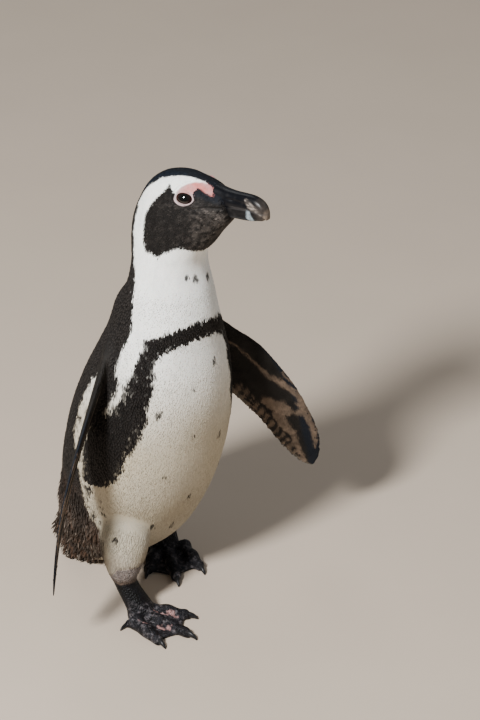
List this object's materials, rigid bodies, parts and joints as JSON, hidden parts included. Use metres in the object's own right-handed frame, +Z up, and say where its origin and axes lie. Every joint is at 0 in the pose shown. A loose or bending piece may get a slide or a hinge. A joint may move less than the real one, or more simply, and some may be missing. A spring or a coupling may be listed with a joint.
{
  "type": "african penguin",
  "caption": "Life-size african penguin in mid-waddle, flippers held out, head turned to its left; solid still figure resting on flat soles and tail.",
  "frame": {"origin": "on the floor, below the centre of the bounding box", "axes": "+Z up, the breast faces -Y, the bird's left is +X; its head is turned 14 degrees towards +X"},
  "size_m": [0.3148, 0.2495, 0.4394],
  "materials": {
    "pale_plumage": "matt white feathers",
    "dark_plumage": "matt black-brown feathers",
    "foot_skin": "black scaly skin",
    "horn": "satin black horn",
    "eye": "wet dark brown"
  },
  "bodies": {
    "root": {"trunk": "pale_plumage", "neck": "pale_plumage", "head": "dark_plumage", "bill_upper": "horn", "bill_lower": "horn", "tail": "dark_plumage", "claw_inner_left": "horn", "claw_middle_left": "horn", "claw_outer_left": "horn", "claw_hallux_left": "horn", "foot_left": "foot_skin", "leg_left": "pale_plumage", "flipper_left": "dark_plumage", "eye_left": "eye", "claw_inner_right": "horn", "claw_middle_right": "horn", "claw_outer_right": "horn", "claw_hallux_right": "horn", "foot_right": "foot_skin", "leg_right": "pale_plumage", "flipper_right": "dark_plumage", "eye_right": "eye"}
  },
  "joints": []
}
